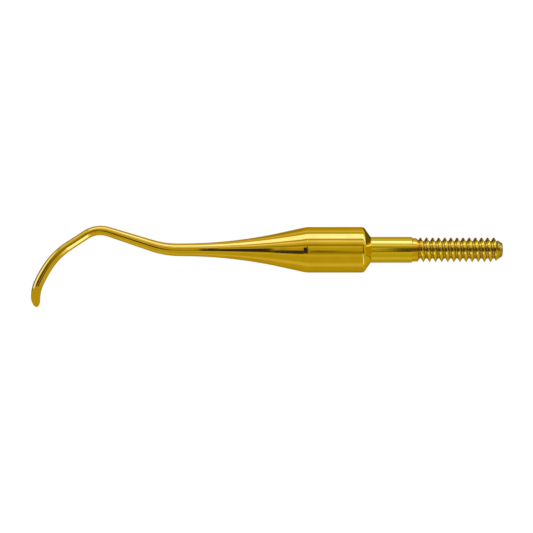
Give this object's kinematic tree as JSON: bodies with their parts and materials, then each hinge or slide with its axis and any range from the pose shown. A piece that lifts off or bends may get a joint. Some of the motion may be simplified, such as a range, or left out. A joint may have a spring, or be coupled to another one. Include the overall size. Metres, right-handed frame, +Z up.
{
  "type": "dental elevator",
  "caption": "Gold-coated screw-in elevator tip: a slim bent hook with a ground toe, a flared neck, a round barrel with a seating cone and pilot, and a threaded stud.",
  "frame": {"origin": "on the tool's axis, where the seating cone's small end meets the pilot", "axes": "+X along the tool's axis from the hook towards the handle, +Z up with the hook bent down in the XZ plane, -Y towards the side that the ground face of the toe looks at"},
  "size_m": [0.0613, 0.006, 0.0106],
  "materials": {
    "polished_coating": "mirror-polished gold-coloured nitride on hardened stainless steel",
    "turned_coating": "the same coating over finely turned steel",
    "thread_coating": "the same coating over a cut thread, slightly duller in the roots"
  },
  "bodies": {
    "root": {"working_end": "polished_coating", "barrel": "turned_coating", "threaded_stud": "thread_coating"}
  },
  "joints": []
}
